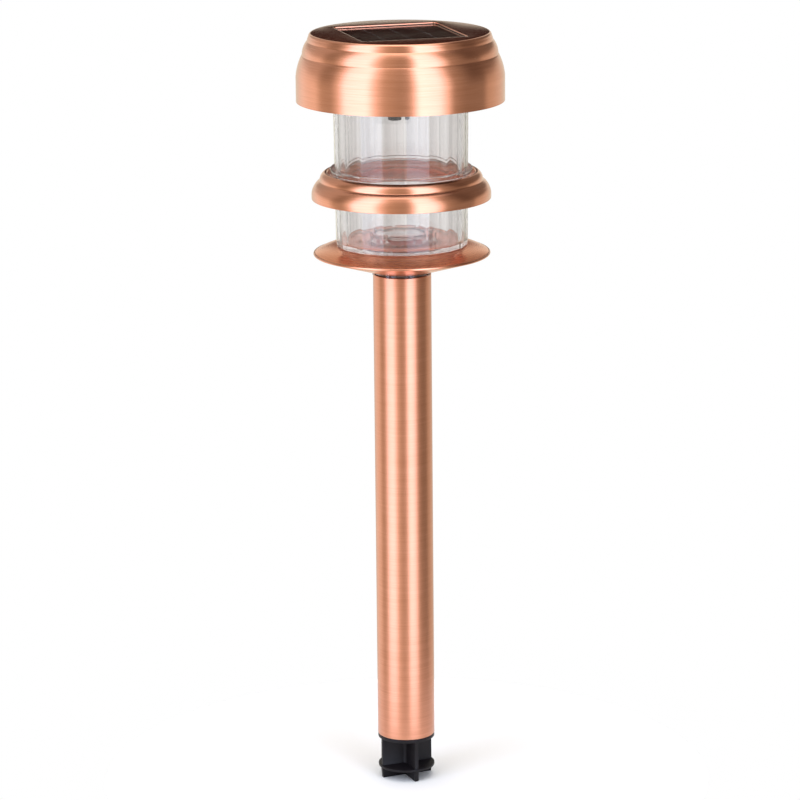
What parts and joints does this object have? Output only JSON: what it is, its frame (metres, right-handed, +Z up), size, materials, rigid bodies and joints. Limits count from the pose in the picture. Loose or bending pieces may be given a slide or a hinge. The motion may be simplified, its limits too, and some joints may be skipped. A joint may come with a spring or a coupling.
{
  "type": "solar garden light",
  "caption": "Solar path light: stepped metal cap with a square panel window, faceted clear lens with a metal ring, saucer, thin pole and a stake stored inside it.",
  "frame": {"origin": "on the pole axis, at the lowest face of the stored stake", "axes": "+Z up along the pole towards the solar panel, -Y the front, +X to the right seen from the front"},
  "size_m": [0.1064, 0.1064, 0.397],
  "materials": {
    "pole_metal": "brushed, copper coloured",
    "cap_metal": "brushed, copper coloured",
    "ring_metal": "brushed, copper coloured",
    "saucer_metal": "brushed, copper coloured",
    "clear_lens": "clear, polished",
    "clear_plug": "clear, moulded",
    "stake_plastic": "moulded black",
    "housing_plastic": "moulded black",
    "door_plastic": "moulded black",
    "knob_plastic": "moulded white",
    "panel_resin": "clear cast resin",
    "cell_silicon": "dark blue silicon",
    "board_laminate": "solder mask",
    "seal_rubber": "black foam",
    "screw_steel": "zinc plated",
    "component_black": "moulded",
    "coil_winding": "enamelled copper",
    "switch_metal": "tinned",
    "lamp_resin": "clear lamp resin",
    "lead_metal": "tinned",
    "cell_wrap": "printed sleeve left plain",
    "contact_metal": "nickel plated",
    "wire_red": "insulated wire"
  },
  "bodies": {
    "pole": {"pole_tube": "pole_metal"},
    "stake": {"ground_stake": "stake_plastic"},
    "lens_head": {"lens": "clear_lens", "middle_ring": "ring_metal", "base_plate": "saucer_metal", "base_bowl": "saucer_metal", "pole_plug": "clear_plug"},
    "cap": {"cap_shell": "cap_metal", "panel_cover": "panel_resin", "solar_cells": "cell_silicon", "panel_board": "board_laminate", "panel_seal": "seal_rubber", "housing_top": "housing_plastic", "housing_base": "housing_plastic", "housing_screws": "screw_steel", "lens_gasket": "seal_rubber", "circuit_board": "board_laminate", "board_screws": "screw_steel", "controller_chip": "component_black", "drive_coil": "coil_winding", "led_lamp": "lamp_resin", "led_leads": "lead_metal", "panel_wires": "wire_red", "switch_case": "switch_metal", "battery_cell": "cell_wrap", "battery_spring": "contact_metal", "battery_contacts": "contact_metal", "battery_wires": "wire_red"},
    "switch": {"switch_knob": "knob_plastic"},
    "door": {"battery_door": "door_plastic"}
  },
  "joints": [
    {"name": "stake_pull", "type": "slide", "parent": "pole", "child": "stake", "axis": [0, 0, -1], "range_m": [0, 0.175]},
    {"name": "head_lift", "type": "slide", "parent": "pole", "child": "lens_head", "axis": [0, 0, 1], "range_m": [0, 0.03]},
    {"name": "cap_twist", "type": "hinge", "parent": "lens_head", "child": "cap", "pos_m": [0, 0, 0.3675], "axis": [0, 0, 1], "range_deg": [0, 20]},
    {"name": "switch_slide", "type": "slide", "parent": "cap", "child": "switch", "axis": [1, 0, 0], "range_m": [0, 0.0024]},
    {"name": "battery_door_swing", "type": "hinge", "parent": "cap", "child": "door", "pos_m": [0, 0.0084, 0.3745], "axis": [-1, 0, 0], "range_deg": [0, 90]}
  ]
}
